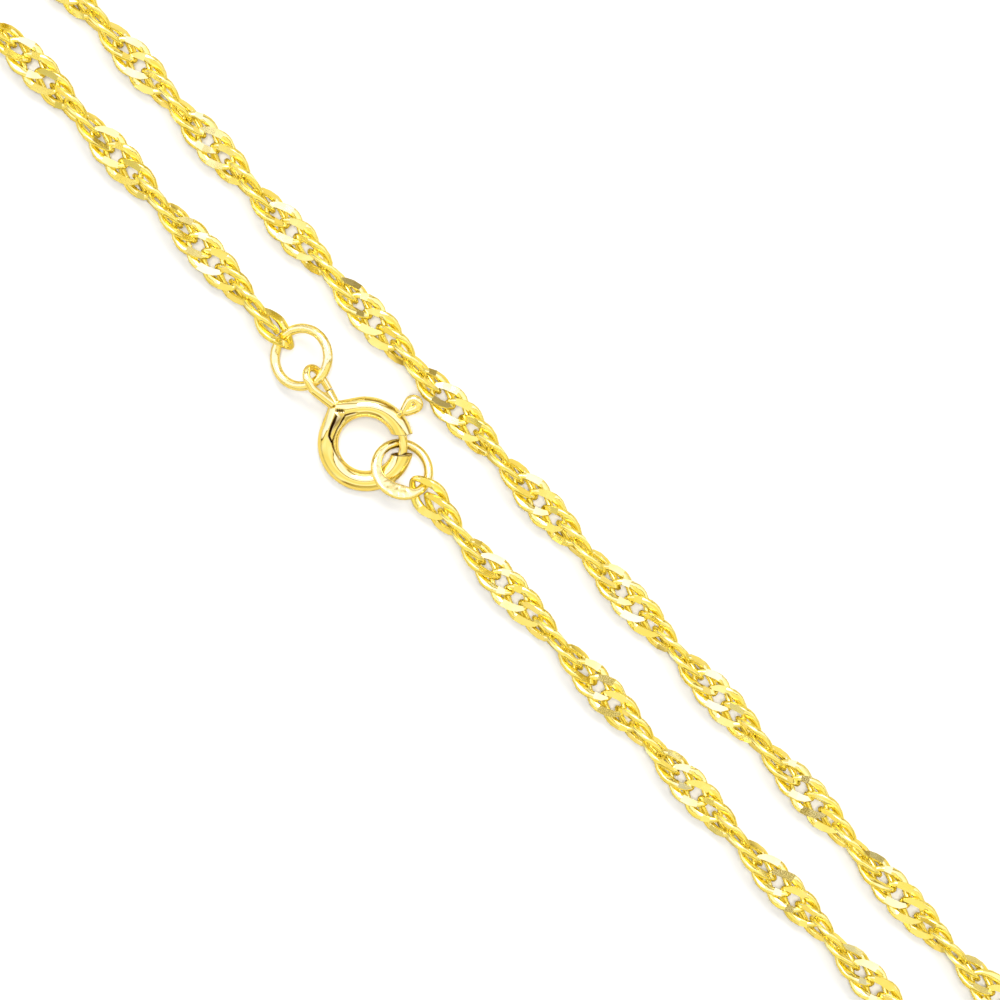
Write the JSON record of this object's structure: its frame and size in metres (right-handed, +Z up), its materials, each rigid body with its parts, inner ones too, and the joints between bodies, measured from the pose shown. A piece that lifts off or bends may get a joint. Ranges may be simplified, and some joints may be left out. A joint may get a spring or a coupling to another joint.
{
  "type": "singapore chain necklace with spring ring clasp",
  "caption": "Twisted double curb chain of flat-cut oval links, lying closed as one loop, with a jump ring, a connector ring and a spring ring clasp whose thumb lever opens its mouth.",
  "frame": {"origin": "on the surface the necklace lies on, under the middle of its bounding box, inside the neck loop", "axes": "+X runs along the two straight stretches towards the wide bend; +Y goes from the clasp's stretch to the plain one; +Z up from the surface"},
  "size_m": [0.1922, 0.0622, 0.0024],
  "materials": {
    "chain_gold": "polished yellow gold with bright flat cuts",
    "ring_gold": "polished yellow gold wire, lightly hammered",
    "clasp_gold": "polished yellow gold tube"
  },
  "bodies": {
    "necklace": {"chain": "chain_gold", "jump_link_1": "chain_gold", "jump_link_2": "chain_gold", "jump_link_3": "chain_gold", "connector_link_1": "chain_gold", "connector_link_2": "chain_gold", "connector_link_3": "chain_gold", "jump_ring": "ring_gold", "connector_ring": "ring_gold", "clasp_body": "clasp_gold"},
    "trigger": {"clasp_trigger": "clasp_gold"}
  },
  "joints": [
    {"name": "trigger_slide", "type": "hinge", "parent": "necklace", "child": "trigger", "pos_m": [-0.03462, -0.00262, 0.00102], "axis": [0.1162, -0.1514, 0.9816], "range_deg": [0, 37], "stiffness_Nm_per_rad": 0.0001, "springref_deg": -28.65}
  ]
}
